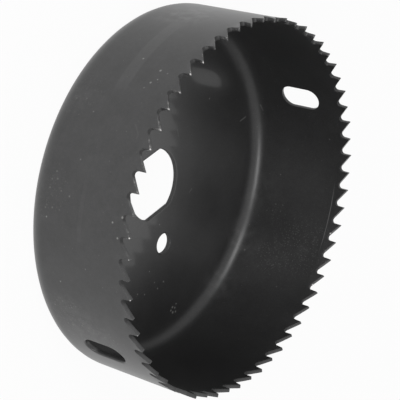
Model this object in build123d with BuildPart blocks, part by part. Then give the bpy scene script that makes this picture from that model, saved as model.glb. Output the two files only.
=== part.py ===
from build123d import *
from math import asin, atan2, cos, degrees, hypot, pi, radians, sin, tan
import os

# Hole saw: one cup, deep-drawn from sheet steel, with the teeth cut into its rim.
# It stands on its closed end. Z is the cutting axis, z = 0 is the outer face of the
# closed end, and the teeth point up. All sizes are in millimetres and degrees.

# Cup
cup_diameter = 114.3
cup_height = 38.1
sheet = 1.3
corner_radius = 7.3  # outside, between the closed end and the wall
relief_height = 4.6  # the bore widens from this far below the tips
relief_depth = 0.15  # and is this much deeper at the tips

# Teeth: each has a steep rake face ahead of it and a long back behind it
tooth_count = 60
tooth_depth = 3.2
gullet_radius = 1.0
tip_land = 0.25
rake_lean = 2.0
tooth_set = 0.25  # every other tooth is bent out, the ones between are bent in
bend_height = 0.4  # above the bottom of the gullets
first_tooth_angle = 1.7

# Slots in the wall, for chips and for prising out the cut disc
slot_width = 7.6
slot_length = 14.0
slot_height = 20.8
slot_angles = (8.0, 202.0)
slot_edge_bevel = 0.45

# Arbor hole with two flats, and the hole for the arbor's drive pin
arbor_diameter = 22.9
arbor_flats = 20.2
pin_diameter = 7.0
pin_reach = 21.8

# The cup's radii and heights
outer_radius = cup_diameter / 2
bore_radius = outer_radius - sheet
mouth_radius = bore_radius + relief_depth
relief_start = cup_height - relief_height
gullet_bottom = cup_height - tooth_depth
bend_line = gullet_bottom + bend_height
bend_radius = bore_radius + relief_depth * (bend_line - relief_start) / relief_height
cut_start = bore_radius - sheet
cut_length = 3 * sheet

# The gap between two teeth, seen from outside, with x = 0 at the tip of a rake face
tooth_pitch = pi * cup_diameter / tooth_count
tooth_angle = 360 / tooth_count
lean = radians(rake_lean)
gullet_z = gullet_bottom + gullet_radius
gullet_x = (cup_height - gullet_z) * tan(lean) + gullet_radius / cos(lean)
back_x = tooth_pitch - tip_land
back_run = back_x - gullet_x
back_rise = cup_height - gullet_z
back_slope = atan2(back_rise, back_run) + asin(gullet_radius / hypot(back_run, back_rise))
rake_root = (gullet_x - gullet_radius * cos(lean), gullet_z - gullet_radius * sin(lean))
back_root = (
    gullet_x + gullet_radius * sin(back_slope),
    gullet_z - gullet_radius * cos(back_slope),
)
gullet_angle = degrees(gullet_x / outer_radius)


def turned(angles):
    """One place on the axis for each angle, turned to it."""
    return [Location((0, 0, 0), (0, 0, angle)) for angle in angles]


def reach(edge):
    """How far an edge's middle is from the axis."""
    middle = edge @ 0.5
    return round(hypot(middle.X, middle.Y), 3)


def tooth_blank(bend):
    """A sector of the rim above the bend line, leaning out at its top by the bend."""
    with BuildPart() as blank:
        with BuildSketch(Plane.XZ):
            Polygon(
                (bend_radius, bend_line),
                (outer_radius, bend_line),
                (outer_radius + bend, cup_height),
                (mouth_radius + bend, cup_height),
                align=None,
            )
        revolve(axis=Axis.Z, revolution_arc=tooth_angle)
    return blank.part


# Each tooth's sector runs from gullet to gullet
tooth_angles = [first_tooth_angle + tooth_angle * i for i in range(tooth_count)]
blank_angles = [angle + gullet_angle - tooth_angle for angle in tooth_angles]

# The cutter for the gap between two teeth
with BuildPart() as tooth_gap:
    with BuildSketch(Plane.YZ.offset(cut_start)):
        with BuildLine():
            Polyline(
                rake_root,
                (0, cup_height),
                (0, cup_height + tooth_depth),
                (back_x, cup_height + tooth_depth),
                (back_x, cup_height),
                back_root,
            )
            ThreePointArc(rake_root, (gullet_x, gullet_bottom), back_root)
        make_face()
    extrude(amount=cut_length)

# The cutter for one slot
with BuildPart() as slot_punch:
    with BuildSketch(Plane.YZ.offset(cut_start)):
        with Locations((0, slot_height)):
            SlotOverall(slot_length, slot_width, rotation=90)
    extrude(amount=cut_length)

with BuildPart() as saw_cup:
    # The drawn cup, up to the line where the teeth are bent
    with BuildSketch(Plane.YZ):
        with BuildLine():
            outside = Polyline(
                (0, sheet),
                (0, 0),
                (outer_radius - corner_radius, 0),
            )
            wall = Polyline(
                (outer_radius, corner_radius),
                (outer_radius, bend_line),
                (bend_radius, bend_line),
                (bore_radius, relief_start),
                (bore_radius, corner_radius),
            )
            RadiusArc(outside @ 1, wall @ 0, -corner_radius)
            RadiusArc(
                wall @ 1,
                (outer_radius - corner_radius, sheet),
                corner_radius - sheet,
            )
            Line((outer_radius - corner_radius, sheet), outside @ 0)
        make_face()
    revolve(axis=Axis.Z)

    # Slots, with their edges bevelled on the outside
    with Locations(*turned(slot_angles)):
        add(slot_punch.part, mode=Mode.SUBTRACT)
    chamfer(saw_cup.edges(Select.LAST).group_by(reach)[-1], slot_edge_bevel)

    # Arbor hole and drive-pin hole in the closed end
    with BuildSketch(Plane.XY):
        Circle(arbor_diameter / 2)
        Rectangle(arbor_diameter, arbor_flats, mode=Mode.INTERSECT)
    extrude(amount=sheet, mode=Mode.SUBTRACT)
    with Locations((0, -pin_reach, sheet)):
        Hole(pin_diameter / 2, depth=sheet)

    # Teeth bent out and in by turns, then the gaps between them
    with Locations(*turned(blank_angles[0::2])):
        add(tooth_blank(tooth_set))
    with Locations(*turned(blank_angles[1::2])):
        add(tooth_blank(-tooth_set))
    with Locations(*turned(tooth_angles)):
        add(tooth_gap.part, mode=Mode.SUBTRACT)

saw_cup.part.label = "saw_cup"
os.makedirs("parts", exist_ok=True)
export_step(saw_cup.part, "parts/saw_cup.step")
print("back slope", round(degrees(back_slope), 1))
print("solids", len(saw_cup.part.solids()), "volume", round(saw_cup.part.volume))
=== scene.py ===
import math

import bmesh
import bpy
import numpy as np
from mathutils import Matrix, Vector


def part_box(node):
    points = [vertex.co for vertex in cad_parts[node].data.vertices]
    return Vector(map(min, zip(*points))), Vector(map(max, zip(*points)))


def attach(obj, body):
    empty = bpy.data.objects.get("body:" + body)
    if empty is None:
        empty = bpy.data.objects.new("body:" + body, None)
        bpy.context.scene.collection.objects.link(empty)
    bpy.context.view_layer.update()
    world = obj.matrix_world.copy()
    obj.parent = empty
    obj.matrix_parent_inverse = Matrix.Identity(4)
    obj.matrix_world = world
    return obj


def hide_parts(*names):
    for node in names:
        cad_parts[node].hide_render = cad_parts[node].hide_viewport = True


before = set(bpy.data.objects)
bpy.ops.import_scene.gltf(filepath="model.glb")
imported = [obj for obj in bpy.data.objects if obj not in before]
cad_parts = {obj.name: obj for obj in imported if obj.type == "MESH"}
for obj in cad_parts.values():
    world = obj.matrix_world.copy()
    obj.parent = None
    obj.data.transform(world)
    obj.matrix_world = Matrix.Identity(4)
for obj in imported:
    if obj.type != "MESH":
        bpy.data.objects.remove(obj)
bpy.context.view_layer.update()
mm = 0.001
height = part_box("saw_cup")[1].z / mm
print("frame loaded:", len(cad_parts), "node")

# the cup stands on its closed end, teeth up; sizes are in millimetres and degrees
cup = {
    "radius": 57.15,  # outside of the wall
    "sheet": 1.3,
    "corner": 7.3,  # outside radius between the closed end and the wall
    "insideCorner": 5.0,  # and the inside one
    "cornerRows": 10,
    "floorRings": 12,  # between the pin hole and the corner
    "lowRows": 3,  # between the corner and the slots
    "taperHeight": 4.6,  # the bore widens from this far below the tips
    "taper": 0.15,  # and is this much wider at the tips
}
arbor = {
    "radius": 11.45,
    "flat": 10.1,  # from the axis to each flat
    "edge": 0.08,  # rounding of the punched edges
    "ring": 16.0,  # radius of the first ring of faces round the hole
}
pin = {
    "radius": 3.5,
    "reach": 21.8,  # from the cup's axis to the hole's
    "angle": 270.0,
    "edge": 0.08,
    "margin": 2.3,  # of the faces round the hole
    "rows": 9,  # rings of faces that they take up
}
slots = {
    "width": 7.6,
    "length": 14.0,
    "height": 20.8,
    "angles": (8.0, 202.0),
    "outerEdge": 0.45,  # rounding of the punched edges, outside and inside
    "innerEdge": 0.08,
    "margin": 3.4,  # of the faces round a slot, to its sides
    "marginAlong": 2.6,  # and past its ends
    "rows": 13,  # rows of faces that these take up
}
teeth = {
    "count": 60,
    "depth": 3.2,
    "gullet": 1.0,  # radius at the bottom of a gap
    "land": 0.25,  # width of a tip
    "lean": 2.0,  # of the rake face, backwards
    "set": 0.25,  # bent out and in by turns
    "bendHeight": 0.4,  # above the bottom of the gaps
    "firstAngle": 1.7,
    "edge": 0.07,  # rounding of the coated edges
    "rakePoints": 3,
    "gulletPoints": 6,
    "backPoints": 6,
    "skew": 2,  # columns that a tooth's foot lies behind its tip
    "fineStart": 6.6,  # below the tips, where the columns of the teeth start
    "meeting": 0.8,  # height of the row where they meet the wall's columns
    "foot": 4.0,  # below the tips, where their rows start
    "rows": (0, 0.34, 0.62, 0.84, 1.0),  # from there up to the rim
    "crease": 0.08,  # half the height over which the taper starts
}
joinDistance = 2e-6  # metres
longestMitre = 1.6
tiny = 1e-6  # keeps a division from zero
outerShare = 0.75  # rows of an edge less deep than this share of the sheet are outside
normalWeight = 80  # how far large faces lead the shading
pitchAngle = 360 / teeth["count"]
columnsPerTooth = teeth["rakePoints"] + teeth["gulletPoints"] + teeth["backPoints"]
rimColumn = np.arange(teeth["count"] * columnsPerTooth)
rimStep = pitchAngle / columnsPerTooth
wallColumns = len(rimColumn) // 3
wallStep = 3 * rimStep
wallAngles = teeth["firstAngle"] + wallStep * np.arange(wallColumns)
tipStart = teeth["firstAngle"] + pitchAngle * (rimColumn // columnsPerTooth)
taperStart = height - cup["taperHeight"]
fineHeight = height - teeth["fineStart"]
meetHeight = fineHeight - teeth["meeting"]
footHeight = height - teeth["foot"]
parts = []


# a grid of points, rows by columns, as quads; wrap joins its last column to its first;
# outside is 1 on the outer face, and nearEdge rises to 1 towards a cut edge
def addGrid(points, outside, nearEdge=0.0, wrap=False, keep=None):
    rows, columns = points.shape[:2]
    index = np.arange(rows * columns).reshape(rows, columns)
    if wrap:
        index = np.hstack([index, index[:, :1]])
    corners = [index[:-1, :-1], index[:-1, 1:], index[1:, 1:], index[1:, :-1]]
    quads = np.stack(corners, axis=-1)
    quads = quads.reshape(-1, 4) if keep is None else quads[keep]
    near = np.broadcast_to(nearEdge, points.shape[:2]).ravel()
    out = np.broadcast_to(outside, points.shape[:2]).ravel()
    parts.append((points.reshape(-1, 3), quads.tolist(), near, out))


# x = r cos a, y = r sin a, with a in degrees
def polar(radius, angle, z):
    radius, angle, z = np.broadcast_arrays(radius, np.radians(angle), z)
    return np.stack([radius * np.cos(angle), radius * np.sin(angle), z], axis=-1)


# a + (b - a) t
def lerp(a, b, t):
    return a + (b - a) * t


# the sheet, less the taper of the bore: s - t (z - start) / taper height, above the start
def wallThickness(z):
    return cup["sheet"] - cup["taper"] * np.clip((z - taperStart) / cup["taperHeight"], 0, 1)


# a closed loop moved to its left: each point goes along the mitre of its two sides,
# by distance / cos of half their turn; a loop that repeats along the rim has a period
def offsetLoop(loop, distance, period=0.0):
    before = np.roll(loop, 1, axis=0)
    after = np.roll(loop, -1, axis=0)
    before[0, 0] -= period
    after[-1, 0] += period
    sides = []
    for along in (loop - before, after - loop):
        along = along / np.linalg.norm(along, axis=1, keepdims=True)
        sides.append(np.stack([-along[:, 1], along[:, 0]], axis=1))
    mitre = sides[0] + sides[1]
    mitre /= np.linalg.norm(mitre, axis=1, keepdims=True)
    widen = np.minimum(1 / np.sum(mitre * sides[0], axis=1), longestMitre)
    return loop + mitre * (widen * distance)[:, None]


# across the sheet at a rounded edge: how far back from the edge each row lies, and its
# depth below the outer face as a distance plus a share of the sheet; quarter circles
# b = e (1 - sin q), d = e (1 - cos q) at both faces
def edgeProfile(outerEdge, innerEdge, steps=3):
    quarter = np.linspace(0, np.pi / 2, steps + 1)
    near = 1 - np.sin(quarter)
    far = 1 - np.cos(quarter)
    outer = np.stack([outerEdge * near, outerEdge * far, 0 * quarter], axis=1)
    inner = np.stack([innerEdge * far, -innerEdge * near, 0 * quarter + 1], axis=1)
    return np.vstack([outer, [[0.0, (outerEdge - innerEdge) / 2, 0.5]], inner])


# radii of the closed end's rings, then heights of the wall's rows
floorEdge = cup["radius"] - cup["corner"]
pinRim = pin["reach"] + pin["radius"] + pin["margin"]
ringRadii = np.append(np.linspace(arbor["ring"], pinRim, pin["rows"] + 1),
                      np.linspace(pinRim, floorEdge, cup["floorRings"] + 1)[1:])
slotHalf = slots["length"] / 2 + slots["marginAlong"]
slotLow = slots["height"] - slotHalf
slotHigh = slots["height"] + slotHalf
wallHeights = np.concatenate([
    np.linspace(cup["corner"], slotLow, cup["lowRows"] + 1),
    np.linspace(slotLow, slotHigh, slots["rows"] + 1)[1:],
    [meetHeight],
])
slotRow = len(ringRadii) + cup["cornerRows"] + 2
edgeOutside = edgeProfile(1, 1)[:, 2:] < outerShare
spread = np.array([0, 0.1, 0.28, 0.58, 1.0])  # from a hole's edge out to its border
nearHole = (1 - spread)[:, None] ** 3


# the cup's section on one side of the sheet: flat end, a straight lead into a quarter
# circle r = start + c sin t, z = c (1 - cos t), the lead out and the straight wall
def cupSection(side):
    depth = side * cup["sheet"]
    radius = cup["insideCorner"] if side else cup["corner"]
    lead = cup["corner"] - depth - radius
    walk = np.linspace(0, 2 * lead + radius * np.pi / 2, cup["cornerRows"] + 1)[1:-1]
    turn = np.clip((walk - lead) / radius, 0, np.pi / 2)
    out = np.clip(walk, 0, lead) + radius * np.sin(turn)
    up = radius * (1 - np.cos(turn)) + np.clip(walk - lead - radius * np.pi / 2, 0, None)
    wall = np.full_like(wallHeights, cup["radius"] - depth)
    r = np.concatenate([ringRadii, floorEdge + out, wall])
    z = np.concatenate([np.full_like(ringRadii, depth), depth + up, wallHeights])
    return r, z


# first and last column of a patch: its middle angle -/+ asin(half / reach)
def patchColumns(middle, half, reach):
    turn = math.degrees(math.asin(half / reach))
    ends = [(middle + side * turn - wallAngles[0]) / wallStep for side in (-1, 1)]
    return [int(round(end)) for end in ends]


# row and column numbers round a patch, anticlockwise from its lowest row's first column
def patchLoop(low, high, first, last):
    bottom = [(low, c) for c in range(first, last)]
    right = [(r, last) for r in range(low, high)]
    top = [(high, c) for c in range(last, first, -1)]
    left = [(r, first) for r in range(high, low, -1)]
    return np.array(bottom + right + top + left)


# both faces of the sheet from the arbor hole's ring up to the foot of the teeth:
# the section turned about the axis, and moved in by the sheet for the inner face
def buildShell():
    keep = np.ones((len(cupSection(0)[0]) - 1, wallColumns), bool)
    loops = []
    for angle in slots["angles"]:
        half = slots["width"] / 2 + slots["margin"]
        first, last = patchColumns(angle, half, cup["radius"])
        top = slotRow + slots["rows"]
        keep[slotRow:top, np.arange(first, last) % wallColumns] = False
        loops.append(patchLoop(slotRow, top, first, last))
    first, last = patchColumns(pin["angle"], pin["radius"] + pin["margin"], pin["reach"])
    keep[0:pin["rows"], np.arange(first, last) % wallColumns] = False
    loops.append(patchLoop(0, pin["rows"], first, last))
    for side in (0, 1):
        r, z = cupSection(side)
        points = polar(r[:, None], wallAngles, z[:, None])
        addGrid(points, 1 - side, wrap=True, keep=keep)
    return (loops, *cupSection(0))


# rings of faces from a patch's border in to the slot, and the edge through the wall; the
# outline is the nearest point of the middle line plus half the width towards the border
def buildSlot(angle, loop, rowZ):
    half = (slots["length"] - slots["width"]) / 2
    borderAngle = wallAngles[0] + wallStep * loop[:, 1]
    borderZ = rowZ[loop[:, 0]]
    across = cup["radius"] * np.sin(np.radians(borderAngle - angle))
    up = borderZ - slots["height"]
    middle = np.stack([np.zeros_like(up), np.clip(up, -half, half)], axis=1)
    way = np.stack([across, up], axis=1) - middle
    way /= np.linalg.norm(way, axis=1, keepdims=True)

    # angle and height of the outline, moved back from the opening, at a depth in the sheet
    def outline(back, depth):
        at = middle + way * (slots["width"] / 2 + back)
        turn = np.degrees(np.arcsin(at[:, 0] / (cup["radius"] - depth)))
        return angle + turn, at[:, 1] + slots["height"]

    out = spread[:, None]
    for side, back in enumerate((slots["outerEdge"], slots["innerEdge"])):
        depth = side * cup["sheet"]
        edgeAngle, edgeZ = outline(back, depth)
        turn = lerp(edgeAngle, borderAngle, out)
        points = polar(cup["radius"] - depth, turn, lerp(edgeZ, borderZ, out))
        addGrid(points, 1 - side, nearEdge=nearHole, wrap=True)
    tube = []
    for back, depth, share in edgeProfile(slots["outerEdge"], slots["innerEdge"]):
        depth += share * cup["sheet"]
        edgeAngle, edgeZ = outline(back, depth)
        tube.append(polar(cup["radius"] - depth, edgeAngle, edgeZ))
    addGrid(np.array(tube), edgeOutside, nearEdge=1.0, wrap=True)


# rings from a hole's outline to its border on both faces, and the edge through the sheet
def buildFloorHole(outline, border, size):
    edge = offsetLoop(outline, -size["edge"])
    flat = lerp(edge, border, spread[:, None, None])
    for side in (0, 1):
        depth = np.full(flat.shape[:2] + (1,), side * cup["sheet"])
        points = np.concatenate([flat, depth], axis=-1)
        addGrid(points, 1 - side, nearEdge=nearHole, wrap=True)
    tube = []
    for back, depth, share in edgeProfile(size["edge"], size["edge"]):
        z = np.full(len(outline), depth + share * cup["sheet"])
        tube.append(np.column_stack([offsetLoop(outline, -back), z]))
    addGrid(np.array(tube), edgeOutside, nearEdge=1.0, wrap=True)


# a circle cut by two flats: r = min(radius, flat / |sin a|), a column at each corner
def buildArborHole():
    angles = wallAngles.copy()
    corner = math.degrees(math.asin(arbor["flat"] / arbor["radius"]))
    for at in (corner, 180 - corner, 180 + corner, 360 - corner):
        angles[np.argmin(np.abs(angles - at))] = at
    rise = np.maximum(np.abs(np.sin(np.radians(angles))), tiny)
    r = np.minimum(arbor["radius"], arbor["flat"] / rise)
    outline = polar(r, angles, 0.0)[:, :2]
    buildFloorHole(outline, polar(arbor["ring"], wallAngles, 0.0)[:, :2], arbor)


# a circle whose points lie from its centre towards the border's points:
# centre + radius (border - centre) / |border - centre|
def buildPinHole(loop, rowRadius):
    border = polar(rowRadius[loop[:, 0]], wallAngles[0] + wallStep * loop[:, 1], 0.0)[:, :2]
    centre = polar(pin["reach"], pin["angle"], 0.0)[:2]
    way = border - centre
    way /= np.linalg.norm(way, axis=1, keepdims=True)
    buildFloorHole(centre + way * pin["radius"], border, pin)


# one gap in (distance along the rim, height): down the rake face, round the gullet,
# a circle that touches both faces, and up the back to the tip
def toothOutline():
    lean = math.radians(teeth["lean"])
    gullet = teeth["gullet"]
    pitch = 2 * math.pi * cup["radius"] / teeth["count"]
    centreZ = height - teeth["depth"] + gullet
    rise = height - centreZ
    centreX = rise * math.tan(lean) + gullet / math.cos(lean)
    run = pitch - teeth["land"] - centreX
    slope = math.atan2(rise, run) + math.asin(gullet / math.hypot(rise, run))
    turn = np.linspace(math.pi + lean, 1.5 * math.pi + slope, teeth["gulletPoints"] + 1)
    arc = np.stack([centreX + gullet * np.cos(turn), centreZ + gullet * np.sin(turn)], axis=1)
    down = np.linspace([0, height], arc[0], teeth["rakePoints"] + 1)[:-1]
    up = np.linspace(arc[-1], [pitch - teeth["land"], height], teeth["backPoints"])[1:]
    return np.vstack([down, arc, up]), pitch


# how far the teeth stand out: set (z - bend line) / (height - bend line), out and in by turns
def toothBend(z):
    line = height - teeth["depth"] + teeth["bendHeight"]
    tooth = (rimColumn + columnsPerTooth // 2) // columnsPerTooth
    way = np.where(tooth % 2 == 0, 1.0, -1.0)
    return teeth["set"] * way * np.clip((z - line) / (height - line), 0, None)


# the angle of a place x across a gap, whose cut goes straight through: start + asin(x / r)
def rimAngle(x, radius):
    return tipStart + np.degrees(np.arcsin(x / radius))


# rows of faces from the rim's outline down to the wall on both faces, and the coated
# edge between them; below the foot three rim columns meet one wall column
def buildTeeth():
    gap, pitch = toothOutline()
    x, z = np.tile(offsetLoop(gap, -teeth["edge"], pitch), (teeth["count"], 1)).T
    footAngle = teeth["firstAngle"] + rimStep * (rimColumn - teeth["skew"])
    rows = np.array(teeth["rows"])[:, None]
    rowZ = lerp(footHeight, z, rows)
    crease = teeth["crease"]
    bandZ = np.array([fineHeight, taperStart - crease, taperStart + crease, footHeight])[:, None]
    total = len(rimColumn)
    k = np.arange(wallColumns)
    low = 3 * k + teeth["skew"]
    meeting = np.stack([total + k, total + (k + 1) % wallColumns, (low + 3) % total,
                        (low + 2) % total, (low + 1) % total, low % total], axis=1)
    for side in (0, 1):
        tipAngle = rimAngle(x, cup["radius"] - wallThickness(z) * side)
        radius = cup["radius"] - wallThickness(rowZ) * side + toothBend(rowZ)
        points = polar(radius, lerp(footAngle, tipAngle, rows), rowZ)
        addGrid(points, 1 - side, nearEdge=rows**3, wrap=True)
        band = polar(cup["radius"] - wallThickness(bandZ) * side, footAngle, bandZ)
        addGrid(band, 1 - side, wrap=True)
        wall = polar(cup["radius"] - cup["sheet"] * side, wallAngles, meetHeight)
        points = np.vstack([band[0], wall])
        even = np.ones(len(points))
        parts.append((points, meeting.tolist(), 0 * even, (1 - side) * even))
    edge = []
    profile = edgeProfile(teeth["edge"], teeth["edge"], steps=2)
    for back, depth, share in profile:
        x, z = np.tile(offsetLoop(gap, -back, pitch), (teeth["count"], 1)).T
        radius = cup["radius"] - depth - share * wallThickness(z)
        edge.append(polar(radius + toothBend(z), rimAngle(x, radius), z))
    addGrid(np.array(edge), profile[:, 2:] < outerShare, nearEdge=1.0, wrap=True)


# a new object of the scene
def addObject(name, data):
    made = bpy.data.objects.new(name, data)
    bpy.context.scene.collection.objects.link(made)
    return made


# all the grids as one closed mesh, its borders merged and its faces pointing outwards
def joinParts(name):
    points, faceLists, near, outside = zip(*parts)
    starts = np.cumsum([0] + [len(part) for part in points])
    faces = []
    for start, faceList in zip(starts, faceLists):
        faces += [[int(start) + i for i in face] for face in faceList]
    mesh = bpy.data.meshes.new(name)
    mesh.from_pydata((np.vstack(points) * mm).tolist(), [], faces)
    for attribute, values in (("nearEdge", near), ("outside", outside)):
        data = mesh.attributes.new(attribute, "FLOAT", "POINT").data
        data.foreach_set("value", np.concatenate(values).astype(float))
    work = bmesh.new()
    work.from_mesh(mesh)
    bmesh.ops.remove_doubles(work, verts=work.verts, dist=joinDistance)
    bmesh.ops.recalc_face_normals(work, faces=work.faces)
    gaps = sum(1 for edge in work.edges if len(edge.link_faces) != 2)
    print(name, "vertices", len(work.verts), "faces", len(work.faces), "open edges", gaps)
    work.to_mesh(mesh)
    work.free()
    mesh.polygons.foreach_set("use_smooth", np.ones(len(mesh.polygons), bool))
    return addObject(name, mesh)


loops, rowRadius, rowZ = buildShell()
for angle, loop in zip(slots["angles"], loops):
    buildSlot(angle, loop, rowZ)
buildPinHole(loops[-1], rowRadius)
buildArborHole()
buildTeeth()
saw = joinParts("hole_saw_cup")
evenNormals = saw.modifiers.new("evenNormals", "WEIGHTED_NORMAL")
evenNormals.weight = normalWeight
print("cup built")

# the black coating: a dull wall, a glossier closed end, dust grains in it and worn tips, with
# painted shade, painted sheen and painted glints
coating = {
    "outside": (0.0435, 0.0435, 0.044, 1),
    "inside": (0.0262, 0.0262, 0.0265, 1),
    "specular": 0.45,
    "roughness": 0.34,
    "cloudRoughness": 0.1,  # how far the clouds change it
    "matt": 0.4,  # more of it on dust, on the holes' edges and between the teeth
    "dull": 0.08,  # more of it on the bore between these heights
    "dullHeights": (3.2, 5.2, 7.0, 13.0),  # where that begins, is full, fades and ends
    "gloss": 0.36,  # coat weight of the closed end
    "glossRoughness": 0.08,
    "glossHeights": (1.31, 1.36),  # where the gloss of the closed end fades out
    "cloud": 0.48,  # contrast of the clouds in the colour, and millimetres between them
    "cloudSize": 6.0,
    "mottle": 0.35,
    "mottleSize": 1.4,
    "grain": (1.1, 0.4),  # contrast inside and outside
    "grainSize": 0.35,
    "grainDepth": 0.006,
    "cut": (0.049, 0.049, 0.049, 1),  # the edges of the holes in the closed end
    "cutEdge": (0.9, 1.0),  # where those begin and are full, as nearness to an edge
    "cutHeight": 2.0,  # they lie below this
    "gullet": 0.35,  # how much painted shade darkens the bottoms between the teeth
    "gulletShadeEdge": (0.85, 1.0),
    "gulletShadeHeights": (33.5, 34.5, 34.9, 35.7),  # as for the dull heights
}
dust = {
    "colour": (0.30, 0.30, 0.29, 1),
    "scattered": 0.25,  # how light the grains are that lie all over
    "sparse": (1.5, 0.35, 0.2),  # cell in millimetres, share of the cells and size
    "fine": (0.55, 0.6, 0.24),
    "coarse": (1.25, 0.6, 0.4),
    "least": 0.25,  # strength of the weakest grain, of 1
    "core": 0.3,  # share of a patch, a grain or a chip that is full
    "patches": (  # centre, radius and strength of the fine and of the coarse grains
        (39.5, -39.5, 26.0, 15.0, 0.30, 0.08),
        (35.5, -43.2, 17.0, 9.0, 0.25, 0.22),
        (45.6, -32.3, 13.0, 6.0, 0.1, 0.3),
        (-50.0, 27.7, 8.0, 10.0, 0.1, 0.4),
        (-55.9, -11.9, 14.0, 13.0, 0.3, 0.45),
        (-55.2, -14.8, 27.0, 8.0, 0.3, 0.45),
        (-30.0, 48.6, 10.0, 9.0, 0.1, 0.2),
    ),
}
# lighter clouds, partly hazy coating and partly painted sheen: the three patches 4 to 5 mm up in
# the inside corner lift the tail of the corner's highlight
hazeAndSheen = {
    "size": 2.6,  # millimetres between its clouds
    "clouds": (0.35, 0.7),  # noise where they begin and are full
    "core": 0.2,
    "patches": (  # centre, radius and strength
        (-55.5, -13.0, 20.0, 13.0, 0.024),
        (-56.9, -5.8, 12.0, 9.0, 0.012),
        (-32.0, 47.3, 9.0, 8.0, 0.010),
        (-42.0, 38.8, 22.0, 9.0, 0.006),
        (8.0, 56.5, 18.0, 13.0, 0.045),
        (-54.0, 18.7, 24.0, 9.0, 0.005),
        (40.8, -38.2, 29.0, 6.0, 0.010),
        (36.5, -42.3, 22.0, 10.0, 0.006),
        (47.6, -27.5, 5.0, 10.0, 0.010),
        (36.8, -40.9, 5.0, 10.0, 0.016),
        (22.0, -50.4, 4.0, 10.0, 0.016),
    ),
}
# painted shade: a darker place of the bore, where it lies in shade, full in the core share of its
# radius
shade = {"centre": (-13.0, -55.3, 22.0), "radius": 40.0, "core": 0.1, "strength": 0.42}
grains = (  # kind, strength, then angle or x, height or y and size
    ("wall", 0.65, ((110.5, 28.5, 0.5), (113.6, 29.5, 0.3), (115.0, 28.0, 0.44),
                    (107.6, 20.6, 0.4), (152.7, 34.8, 0.5), (158.5, 34.0, 0.42),
                    (154.7, 31.8, 0.4), (158.5, 8.8, 0.34), (176.8, 13.2, 0.34))),
    ("wall", 0.3, ((117.0, 27.0, 0.34), (111.0, 31.2, 0.36), (127.2, 15.3, 0.34),
                   (140.8, 16.9, 0.34), (151.2, 16.0, 0.4), (170.2, 23.1, 0.34))),
    ("bore", 0.25, ((46.9, 31.0, 0.4), (-5.8, 30.7, 0.4), (-22.5, 12.4, 0.34),
                    (-51.5, 6.3, 0.44), (-60.9, 23.8, 0.34))),
    ("floor", 0.6, ((-1.6, -47.2, 0.5), (-0.6, -46.5, 0.55), (0.5, -47.4, 0.5),
                    (-0.9, -48.4, 0.6), (0.5, -49.0, 0.5), (1.4, -46.4, 0.4))),
    ("floor", 0.5, ((-8.6, -27.3, 0.34), (-2.9, -34.8, 0.4), (-7.1, -32.5, 0.34),
                    (-6.2, -35.4, 0.42), (-15.7, -31.6, 0.4), (-12.6, -33.7, 0.36),
                    (-0.4, -14.4, 0.34), (32.6, 14.5, 0.4))),
)
scratches = (  # start, end, width and strength
    ((47.2, -0.9, 1.3), (50.4, -0.9, 1.3), 0.34, 0.3),
    ((16.2, -11.6, 1.3), (17.6, -11.0, 1.3), 0.3, 0.2),
    ((55.3, 1.7, 4.4), (55.4, -0.2, 5.0), 0.42, 0.2),
    ((14.9, 12.1, 1.3), (14.8, 9.6, 1.3), 0.3, 0.12),
    ((-35.2, 45.1, 30.3), (-37.1, 43.5, 32.5), 0.3, 0.06),
    ((-37.1, 43.5, 32.5), (-37.9, 42.7, 32.4), 0.3, 0.06),
)
scratchCore = 0.25  # share of a scratch's width that is full
rings = (  # lighter rings, painted reflections and a painted highlight on the bore's crease: kind, height, half the width, from and to angle, strength
    ("wall", 19.8, 2.4, 82, 123, 0.015),
    ("wall", 20.7, 0.8, 142, 169, 0.007),
    ("bore", 33.6, 0.14, -47, -19, 0.10),
    ("bore", 36.0, 2.4, -62, -30, 0.008),
)
ringCore = 0.7  # share of a ring's width that is full
ringEnds = 9.0  # degrees over which its ends fade
# worn teeth, partly painted glints: chips of bare steel and lighter rubbed lines along the edges,
# strongest on the side that faces the camera and lamps
wearAndGlints = {
    "colour": (0.62, 0.61, 0.60, 1),
    "line": 0.6,  # strength of the rubbed lines, which also stand in for painted glints
    "lineColour": (0.17, 0.17, 0.168, 1),
    "beads": 0.6,  # millimetres between the chips along an edge
    "beadSizes": (0.08, 0.34),  # radii between which a chip fades
    "patchSize": 1.7,  # millimetres between the worn patches
    "patches": (0.42, 0.56),  # noise where they begin and are full
    "heights": (34.6, 37.6),  # from where up the teeth are worn
    "side": 122,  # angle of the side that is worn most and holds the painted glints
    "sideReach": (0.6, 0.93),  # cosine of the turn from there where wear begins and is full
    "chipEdge": (0.88, 1.0),  # nearness to an edge where chips and lines begin and are full
    "lineEdge": (0.62, 0.95),
    "lineLeast": 0.1,  # share of the lines that is left between the patches
    "lineAway": 0.15,  # and away from the worn side
    "spots": (  # angle, radius, height and size of the largest chips
        (103.7, 56.2, 38.1, 0.5), (109.7, 57.15, 38.05, 0.45), (115.7, 56.5, 37.85, 0.45),
        (121.7, 57.1, 38.0, 0.5), (127.7, 56.35, 38.05, 0.6), (133.6, 57.3, 38.1, 0.5),
        (157.5, 57.3, 38.1, 0.4), (163.6, 57.0, 38.1, 0.32), (175.6, 57.0, 38.1, 0.4),
        (-172.4, 57.0, 38.1, 0.32), (-37.9, 56.1, 35.6, 0.4), (-56.2, 56.7, 35.4, 0.4),
    ),
}


# a socket takes a value or a link
def put(tree, socket, value):
    if isinstance(value, bpy.types.NodeSocket):
        tree.links.new(value, socket)
    else:
        socket.default_value = value


# a node whose first sockets take the values
def addNode(tree, kind, *values):
    node = tree.nodes.new(kind)
    for socket, value in zip(node.inputs, values):
        put(tree, socket, value)
    return node


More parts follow.
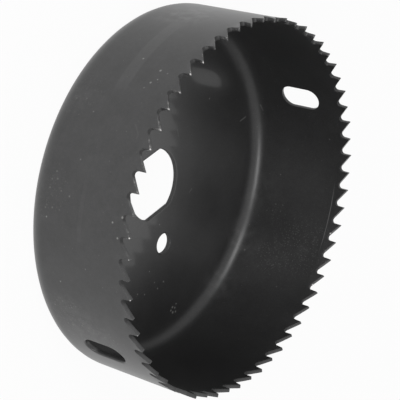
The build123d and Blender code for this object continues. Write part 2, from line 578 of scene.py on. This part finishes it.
# the operation on numbers, such as a * b + c for MULTIPLY_ADD
def maths(tree, operation, *values):
    node = addNode(tree, "ShaderNodeMath", *values)
    node.operation = operation
    return node.outputs[0]


# the operation on vectors
def vectorMaths(tree, operation, *values, output="Vector"):
    node = addNode(tree, "ShaderNodeVectorMath", *values)
    node.operation = operation
    return node.outputs[output]


# vector times a number
def scale(tree, vector, factor):
    node = addNode(tree, "ShaderNodeVectorMath", vector)
    node.operation = "SCALE"
    put(tree, node.inputs["Scale"], factor)
    return node.outputs[0]


# 1 - value
def rest(tree, value):
    return maths(tree, "SUBTRACT", 1.0, value)


# 0 up to low, 1 from high, a smooth step between
def smooth(tree, value, low, high):
    node = addNode(tree, "ShaderNodeMapRange", value, low, high)
    node.interpolation_type = "SMOOTHSTEP"
    return node.outputs[0]


# 0 up to start, 1 from full to fading, 0 again from end
def between(tree, value, start, full, fading, end):
    return maths(tree, "SUBTRACT", smooth(tree, value, start, full),
                 smooth(tree, value, fading, end))


# 1 within core times the radius of a place, 0 from the radius on
def nearness(tree, vector, place, radius, core):
    away = vectorMaths(tree, "DISTANCE", vector, place, output="Value")
    return rest(tree, smooth(tree, away, maths(tree, "MULTIPLY", radius, core), radius))


# Perlin noise from 0 to 1, size millimetres from one wave to the next
def noise(tree, vector, size, detail=2.0):
    node = tree.nodes.new("ShaderNodeTexNoise")
    put(tree, node.inputs["Vector"], vector)
    put(tree, node.inputs["Scale"], maths(tree, "DIVIDE", 1.0, size))
    node.inputs["Detail"].default_value = detail
    return node.outputs["Fac"]


# millimetres to the nearest of scattered points, one a cell, and a random colour of its own
def voronoi(tree, vector, cell):
    node = tree.nodes.new("ShaderNodeTexVoronoi")
    put(tree, node.inputs["Vector"], vector)
    put(tree, node.inputs["Scale"], maths(tree, "DIVIDE", 1.0, cell))
    return maths(tree, "MULTIPLY", node.outputs["Distance"], cell), node.outputs["Color"]


# first + (second - first) share; a colour mix has sockets 6, 7 and 2 for its colours
def mixColour(tree, share, first, second):
    node = addNode(tree, "ShaderNodeMix", share)
    node.data_type = "RGBA"
    put(tree, node.inputs[6], first)
    put(tree, node.inputs[7], second)
    return node.outputs[2]


# a shader group with named sockets; Vector, Start and End are vectors, the rest numbers
def newGroup(name, takes, gives):
    tree = bpy.data.node_groups.new(name, "ShaderNodeTree")
    for label in takes:
        kind = "NodeSocketVector" if label in ("Vector", "Start", "End") else "NodeSocketFloat"
        tree.interface.new_socket(label, in_out="INPUT", socket_type=kind)
    for label in gives:
        tree.interface.new_socket(label, in_out="OUTPUT", socket_type="NodeSocketFloat")
    return tree, tree.nodes.new("NodeGroupInput").outputs, tree.nodes.new("NodeGroupOutput").inputs


# the outputs of a group that takes the named values
def useGroup(tree, group, **values):
    node = tree.nodes.new("ShaderNodeGroup")
    node.node_tree = group
    for label, value in values.items():
        put(tree, node.inputs[label], value)
    return node.outputs


# a share of Voronoi cells holds a grain, a ball round the cell's point: 1 - step(distance)
def dustGroup():
    tree, take, give = newGroup("dustGrains", ("Vector", "Cell", "Share", "Size"), ("Mask",))
    distance, colour = voronoi(tree, take["Vector"], take["Cell"])
    chance = addNode(tree, "ShaderNodeSeparateColor", colour)
    chosen = maths(tree, "LESS_THAN", chance.outputs[0], take["Share"])
    core = maths(tree, "MULTIPLY", take["Size"], dust["core"])
    grain = maths(tree, "MULTIPLY", rest(tree, smooth(tree, distance, core, take["Size"])), chosen)
    level = maths(tree, "MULTIPLY_ADD", chance.outputs[1], 1 - dust["least"], dust["least"])
    put(tree, give["Mask"], maths(tree, "MULTIPLY", grain, level))
    return tree


# a capsule from start to end: distance = |d - h (end - start)|, where d = place - start
# and h = d . (end - start) / |end - start| squared, kept between 0 and 1
def markGroup():
    tree, take, give = newGroup("mark", ("Vector", "Start", "End", "Width"), ("Mask",))
    d = vectorMaths(tree, "SUBTRACT", take["Vector"], take["Start"])
    along = vectorMaths(tree, "SUBTRACT", take["End"], take["Start"])
    length = vectorMaths(tree, "DOT_PRODUCT", along, along, output="Value")
    share = vectorMaths(tree, "DOT_PRODUCT", d, along, output="Value")
    h = maths(tree, "DIVIDE", share, maths(tree, "MAXIMUM", length, tiny))
    h = maths(tree, "MAXIMUM", maths(tree, "MINIMUM", h, 1.0), 0.0)
    put(tree, give["Mask"], nearness(tree, d, scale(tree, along, h), take["Width"], scratchCore))
    return tree


# a round spot: 1 - step of the distance from its place
def spotGroup():
    tree, take, give = newGroup("spot", ("Vector", "Start", "Width"), ("Mask",))
    mask = nearness(tree, take["Vector"], take["Start"], take["Width"], dust["core"])
    put(tree, give["Mask"], mask)
    return tree


# a lighter ring of painted reflection round the wall between two angles: step of |z - height| times
# steps of the angle
def ringGroup():
    labels = ("Vector", "Height", "Half", "From", "To")
    tree, take, give = newGroup("ringRound", labels, ("Mask",))
    x, y, z = addNode(tree, "ShaderNodeSeparateXYZ", take["Vector"]).outputs
    angle = maths(tree, "DEGREES", maths(tree, "ARCTAN2", y, x))
    off = maths(tree, "ABSOLUTE", maths(tree, "SUBTRACT", z, take["Height"]))
    core = maths(tree, "MULTIPLY", take["Half"], ringCore)
    across = rest(tree, smooth(tree, off, core, take["Half"]))
    around = between(tree, angle, take["From"], maths(tree, "ADD", take["From"], ringEnds),
                     maths(tree, "SUBTRACT", take["To"], ringEnds), take["To"])
    put(tree, give["Mask"], maths(tree, "MULTIPLY", across, around))
    return tree


# chips and rubbed lines along the teeth, partly painted glints: the edge attribute, broken up by
# round beads and by soft noise, strongest to one side, where cos(angle off that side) is high
def wearAndGlintGroup():
    labels = ("Vector", "Edge", "Outside", "Height")
    tree, take, give = newGroup("edgeWearAndGlints", labels, ("Chips", "Line"))
    distance = voronoi(tree, take["Vector"], wearAndGlints["beads"])[0]
    bead = rest(tree, smooth(tree, distance, *wearAndGlints["beadSizes"]))
    patchy = noise(tree, take["Vector"], wearAndGlints["patchSize"], detail=1.0)
    patchy = smooth(tree, patchy, *wearAndGlints["patches"])
    turn = math.radians(wearAndGlints["side"])
    toward = vectorMaths(tree, "DOT_PRODUCT", vectorMaths(tree, "NORMALIZE", take["Vector"]),
                         (math.cos(turn), math.sin(turn), 0.0), output="Value")
    toward = smooth(tree, toward, *wearAndGlints["sideReach"])
    high = smooth(tree, take["Height"], *wearAndGlints["heights"])
    high = maths(tree, "MULTIPLY", high, take["Outside"])
    chips = smooth(tree, take["Edge"], *wearAndGlints["chipEdge"])
    for factor in (patchy, bead, high, toward):
        chips = maths(tree, "MULTIPLY", chips, factor)
    line = smooth(tree, take["Edge"], *wearAndGlints["lineEdge"])
    for factor, least in ((patchy, wearAndGlints["lineLeast"]), (toward, wearAndGlints["lineAway"])):
        line = maths(tree, "MULTIPLY", line, maths(tree, "MULTIPLY_ADD", factor, 1 - least, least))
    put(tree, give["Chips"], chips)
    put(tree, give["Line"], maths(tree, "MULTIPLY", line, high))
    return tree


# a soft change of tone: 1 + (noise - 1/2) contrast
def cloudGroup():
    tree, take, give = newGroup("cloud", ("Vector", "Size", "Contrast"), ("Tone",))
    soft = noise(tree, take["Vector"], take["Size"], detail=3.0)
    soft = maths(tree, "SUBTRACT", soft, 0.5)
    put(tree, give["Tone"], maths(tree, "MULTIPLY_ADD", soft, take["Contrast"], 1.0))
    return tree


# places of the grains as points of the wall, the bore and the closed end
def grainPlaces():
    for kind, strength, places in grains:
        for first, second, size in places:
            radius = cup["radius"] - (cup["sheet"] if kind == "bore" else 0)
            point = (first, second, cup["sheet"])
            if kind != "floor":
                point = polar(radius, first, second).tolist()
            yield point, size, strength


# colour = base times tone, darkened by painted shade, plus hazy clouds, painted sheen and lighter
# ring bands, covered by dust, rubbed lines with painted glints and chips; roughness and gloss
# follow the same masks, and fine noise and the dust stand out as bumps
def blackCoating():
    material = bpy.data.materials.new("blackCoating")
    material.use_nodes = True
    tree = material.node_tree
    nodes = tree.nodes
    shader = nodes["Principled BSDF"]
    dustGrains, mark, spot, ring, edgeWearAndGlints, cloud = (
        dustGroup(), markGroup(), spotGroup(), ringGroup(), wearAndGlintGroup(), cloudGroup())
    vector = scale(tree, nodes.new("ShaderNodeTexCoord").outputs["Object"], 1 / mm)
    z = addNode(tree, "ShaderNodeSeparateXYZ", vector).outputs["Z"]
    attributes = []
    for name in ("outside", "nearEdge"):
        node = nodes.new("ShaderNodeAttribute")
        node.attribute_name = name
        attributes.append(node.outputs["Fac"])
    outside, nearEdge = attributes
    inner = rest(tree, outside)
    cut = maths(tree, "MULTIPLY", smooth(tree, nearEdge, *coating["cutEdge"]),
                maths(tree, "LESS_THAN", z, coating["cutHeight"]))
    # painted shade in the bottoms of the gaps between the teeth, which are also rougher
    gullet = maths(tree, "MULTIPLY", between(tree, z, *coating["gulletShadeHeights"]),
                   smooth(tree, nearEdge, *coating["gulletShadeEdge"]))

    # tone, darkened by painted shade in the bore and between the teeth
    grainIn, grainOut = coating["grain"]
    grainContrast = maths(tree, "MULTIPLY_ADD", outside, grainOut - grainIn, grainIn)
    soft, mottle, fine = (
        useGroup(tree, cloud, Vector=vector, Size=size, Contrast=contrast)[0]
        for size, contrast in ((coating["cloudSize"], coating["cloud"]),
                               (coating["mottleSize"], coating["mottle"]),
                               (coating["grainSize"], grainContrast)))
    tone = maths(tree, "MULTIPLY", maths(tree, "MULTIPLY", soft, mottle), fine)
    # painted shade on the inner face round one place of the bore
    paintedShadeMask = nearness(tree, vector, shade["centre"], shade["radius"], shade["core"])
    paintedShadeMask = maths(tree, "MULTIPLY", paintedShadeMask, inner)
    for mask, strength in ((paintedShadeMask, shade["strength"]), (gullet, coating["gullet"])):
        tone = maths(tree, "MULTIPLY", tone, maths(tree, "MULTIPLY_ADD", mask, -strength, 1.0))

    # hazy clouds with painted sheen, and lighter ring bands of painted reflection
    hazeAndSheenLift = 0.0
    clouds = smooth(tree, noise(tree, vector, hazeAndSheen["size"], detail=4.0), *hazeAndSheen["clouds"])
    for *centre, radius, strength in hazeAndSheen["patches"]:
        near = maths(tree, "MULTIPLY", nearness(tree, vector, centre, radius, hazeAndSheen["core"]), clouds)
        hazeAndSheenLift = maths(tree, "MULTIPLY_ADD", near, strength, hazeAndSheenLift)
    sides = {"wall": outside, "bore": maths(tree, "MULTIPLY", inner, soft)}
    for kind, level, half, start, end, strength in rings:
        mask = useGroup(tree, ring, Vector=vector, Height=level, Half=half, From=start, To=end)[0]
        mask = maths(tree, "MULTIPLY", mask, sides[kind])
        hazeAndSheenLift = maths(tree, "MULTIPLY_ADD", mask, strength, hazeAndSheenLift)

    # dust and scratches
    shares = [0.0, 0.0]
    for *centre, radius, fineStrength, coarseStrength in dust["patches"]:
        near = nearness(tree, vector, centre, radius, dust["core"])
        for kind, strength in enumerate((fineStrength, coarseStrength)):
            part = maths(tree, "MULTIPLY", near, strength)
            shares[kind] = maths(tree, "MAXIMUM", part, shares[kind])
    specks = 0.0
    shares.append(dust["scattered"])
    for share, (cell, chance, size) in zip(shares, (dust["fine"], dust["coarse"], dust["sparse"])):
        many = useGroup(tree, dustGrains, Vector=vector, Cell=cell, Share=chance, Size=size)[0]
        specks = maths(tree, "MAXIMUM", specks, maths(tree, "MULTIPLY", many, share))
    for point, size, strength in grainPlaces():
        grain = useGroup(tree, spot, Vector=vector, Start=point, Width=size)[0]
        specks = maths(tree, "MAXIMUM", specks, maths(tree, "MULTIPLY", grain, strength))
    for start, end, width, strength in scratches:
        line = useGroup(tree, mark, Vector=vector, Start=start, End=end, Width=width)[0]
        specks = maths(tree, "MAXIMUM", specks, maths(tree, "MULTIPLY", line, strength))

    # worn edges, partly painted glints
    chips, rubbedAndGlint = useGroup(tree, edgeWearAndGlints, Vector=vector, Edge=nearEdge, Outside=outside,
                             Height=z)
    for angle, radius, level, size in wearAndGlints["spots"]:
        point = polar(radius, angle, level).tolist()
        chip = useGroup(tree, spot, Vector=vector, Start=point, Width=size)[0]
        chips = maths(tree, "MAXIMUM", chips, chip)

    # colour and finish
    colour = mixColour(tree, outside, coating["inside"], coating["outside"])
    colour = vectorMaths(tree, "ADD", scale(tree, colour, tone), hazeAndSheenLift)
    rubbedAndGlint = maths(tree, "MULTIPLY", rubbedAndGlint, wearAndGlints["line"])
    for mask, above in ((specks, dust["colour"]), (rubbedAndGlint, wearAndGlints["lineColour"]),
                        (cut, coating["cut"]), (chips, wearAndGlints["colour"])):
        colour = mixColour(tree, mask, colour, above)
    rough = maths(tree, "MULTIPLY_ADD", soft, coating["cloudRoughness"],
                  coating["roughness"] - coating["cloudRoughness"])
    matt = maths(tree, "MAXIMUM", maths(tree, "MAXIMUM", specks, cut), gullet)
    dull = maths(tree, "MULTIPLY", between(tree, z, *coating["dullHeights"]), inner)
    for mask, more in ((matt, coating["matt"]), (dull, coating["dull"])):
        rough = maths(tree, "MULTIPLY_ADD", mask, more, rough)
    gloss = rest(tree, smooth(tree, z, *coating["glossHeights"]))
    gloss = maths(tree, "MULTIPLY", gloss, maths(tree, "SUBTRACT", coating["gloss"], specks))
    gloss = maths(tree, "MAXIMUM", maths(tree, "SUBTRACT", gloss, cut), 0.0)
    texture = noise(tree, vector, coating["grainSize"])
    bump = nodes.new("ShaderNodeBump")
    bump.inputs["Distance"].default_value = coating["grainDepth"] * mm
    put(tree, bump.inputs["Height"], maths(tree, "ADD", texture, specks))
    for label, value in (("Base Color", colour), ("Metallic", chips), ("Roughness", rough),
                         ("Coat Weight", gloss), ("Coat Roughness", coating["glossRoughness"]),
                         ("Specular IOR Level", coating["specular"]),
                         ("Normal", bump.outputs["Normal"])):
        put(tree, shader.inputs[label], value)
    return material


saw.data.materials.append(blackCoating())
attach(saw, "root")
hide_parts("saw_cup")
print("coating done")

# a white studio round the cup, and soft lamps beside the camera
studio = {
    "floorRings": (0.1, 0.4, 1.2, 4.0),  # radii in metres
    "floorStep": 5.0,
    "floorGap": 0.00005,  # metres under z = 0
    "floorColour": (0.85, 0.85, 0.85, 1),
    "floorGlow": 0.95,  # how far the floor looks plain white, the rest takes the shadow
    "surroundings": 0.3,  # the world as light
    "lampDistance": 1.2,  # metres from the cup
    "lamps": (  # degrees right of the camera and above it, width and height, level
        (9.5, 23.7, 0.66, 0.62, 9.3),
        (0, -24, 0.4, 0.82, 11.3),
        (100, -20, 0.6, 0.6, 0.8),
    ),
}
view = {
    "place": (-261.87, 202.994, 240.29),
    "turn": (-21.6329, -53.3545, -11.6053),
    "lens": 118.34,
    "sensor": 36.0,
    "clip": (0.01, 20),
}


# a disc just under z = 0 in rings: x = r cos a, y = r sin a
def buildFloor():
    turn = np.arange(0, 360, studio["floorStep"])
    radii = np.array(studio["floorRings"])[:, None]
    points = np.vstack([[[0, 0, 0]], polar(radii, turn, 0.0).reshape(-1, 3)])
    points[:, 2] = -studio["floorGap"]
    n = len(turn)
    i = np.arange(n)
    j = (i + 1) % n
    faces = np.stack([0 * i, 1 + i, 1 + j], axis=1).tolist()
    for ring in range(1, len(radii)):
        a = 1 + (ring - 1) * n
        faces += np.stack([a + i, a + n + i, a + n + j, a + j], axis=1).tolist()
    mesh = bpy.data.meshes.new("floor")
    mesh.from_pydata(points.tolist(), [], faces)
    floor = addObject("floor", mesh)
    mesh.materials.append(floorWhite())


# 1 for the camera's own rays and for reflections, 0 for light
def seenDirectly(tree):
    path = tree.nodes.new("ShaderNodeLightPath").outputs
    return maths(tree, "MAXIMUM", path["Is Camera Ray"], path["Is Glossy Ray"])


# white light where it is seen directly, over a diffuse white; clear from below, where it
# would hide the cup
def floorWhite():
    material = bpy.data.materials.new("floorWhite")
    material.use_nodes = True
    tree = material.node_tree
    tree.nodes.clear()
    diffuse = addNode(tree, "ShaderNodeBsdfDiffuse", studio["floorColour"]).outputs[0]
    glow = tree.nodes.new("ShaderNodeEmission").outputs[0]
    share = maths(tree, "MULTIPLY", seenDirectly(tree), studio["floorGlow"])
    white = addNode(tree, "ShaderNodeMixShader", share, diffuse, glow).outputs[0]
    below = tree.nodes.new("ShaderNodeNewGeometry").outputs["Backfacing"]
    clear = tree.nodes.new("ShaderNodeBsdfTransparent").outputs[0]
    either = addNode(tree, "ShaderNodeMixShader", below, white, clear).outputs[0]
    addNode(tree, "ShaderNodeOutputMaterial", either)
    return material


# full white where the world is seen, directly or in a reflection, and less as light
def buildWorld():
    world = bpy.data.worlds.new("studio")
    bpy.context.scene.world = world
    world.use_nodes = True
    tree = world.node_tree
    background = tree.nodes["Background"]
    background.inputs["Color"].default_value = (1, 1, 1, 1)
    level = maths(tree, "MULTIPLY_ADD", seenDirectly(tree), 1 - studio["surroundings"],
                  studio["surroundings"])
    put(tree, background.inputs["Strength"], level)


# the camera's place in millimetres and its turn in degrees, as Euler angles
def buildCamera():
    data = bpy.data.cameras.new("camera")
    data.lens = view["lens"]
    data.sensor_width = view["sensor"]
    data.clip_start, data.clip_end = view["clip"]
    camera = addObject("camera", data)
    camera.location = [c * mm for c in view["place"]]
    camera.rotation_euler = [math.radians(a) for a in view["turn"]]
    bpy.context.scene.camera = camera
    return camera


# the level over a lamp's face, full in the middle and none at its edges:
# 4u (1 - u) 4v (1 - v)
def softenLamp(data):
    data.use_nodes = True
    tree = data.node_tree
    face = tree.nodes.new("ShaderNodeNewGeometry").outputs["Parametric"]
    place = addNode(tree, "ShaderNodeSeparateXYZ", face).outputs
    bell = 1.0
    for way in (place["X"], place["Y"]):
        arch = maths(tree, "MULTIPLY", maths(tree, "MULTIPLY", way, 4.0), rest(tree, way))
        bell = maths(tree, "MULTIPLY", arch, bell)
    put(tree, tree.nodes["Emission"].inputs["Strength"], bell)


# each lamp's way from the cup: cos e (sin a right + cos a back) + sin e up, of the camera
def buildLamps(camera):
    turn = camera.matrix_basis.to_3x3()
    right, up, back = (np.array(turn.col[i]) for i in range(3))
    middle = np.array([0, 0, height / 2 * mm])
    for number, (aside, above, wide, high, level) in enumerate(studio["lamps"]):
        a = math.radians(aside)
        e = math.radians(above)
        way = math.cos(e) * (math.sin(a) * right + math.cos(a) * back) + math.sin(e) * up
        across = np.cross(up, way)
        across /= np.linalg.norm(across)
        data = bpy.data.lights.new("softLamp%d" % number, "AREA")
        data.shape = "RECTANGLE"
        data.size = wide
        data.size_y = high
        data.energy = level * math.pi * wide * high
        softenLamp(data)
        lamp = addObject(data.name, data)
        face = np.stack([across, np.cross(way, across), way], axis=1)
        lamp.matrix_basis = Matrix(face.tolist()).to_4x4()
        lamp.location = middle + way * studio["lampDistance"]


buildFloor()
buildWorld()
buildLamps(buildCamera())
bpy.context.scene.view_settings.view_transform = "Standard"
print("studio done")
